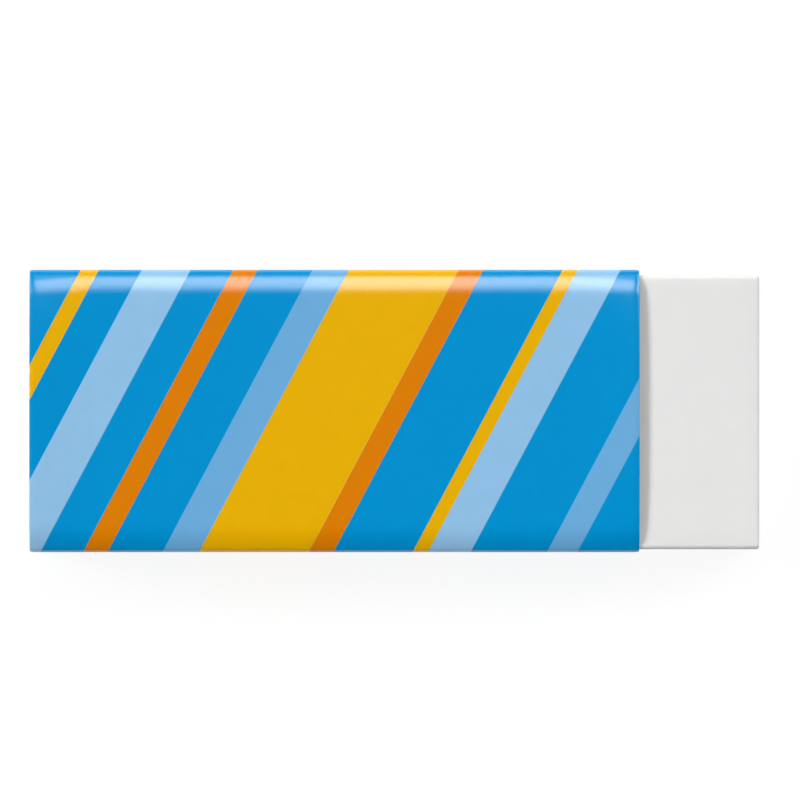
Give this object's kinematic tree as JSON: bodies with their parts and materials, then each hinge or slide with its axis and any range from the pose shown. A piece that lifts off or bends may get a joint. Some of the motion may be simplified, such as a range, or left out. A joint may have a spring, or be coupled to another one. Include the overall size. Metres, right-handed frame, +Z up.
{
  "type": "block eraser with card sleeve",
  "caption": "Rectangular white vinyl block eraser in a folded, lapped and glued printed card sleeve that slides along it and leaves one end bare.",
  "frame": {"origin": "on the surface it lies on, under the middle of the block", "axes": "+X along the block towards its bare working end, +Y across the broad face towards the side with the glued lap, +Z up out of the broad face"},
  "size_m": [0.062, 0.024, 0.0129],
  "materials": {
    "vinyl": "white plasticised vinyl, satin, faintly translucent",
    "printed_card": "thin white card printed in flat colours and gloss varnished outside, bare inside and on its cut edges"
  },
  "bodies": {
    "block": {"eraser_block": "vinyl"},
    "sleeve": {"card_sleeve": "printed_card"}
  },
  "joints": [
    {"name": "sleeve_slide", "type": "slide", "parent": "block", "child": "sleeve", "axis": [1, 0, 0], "range_m": [-0.0518, 0.0102]}
  ]
}
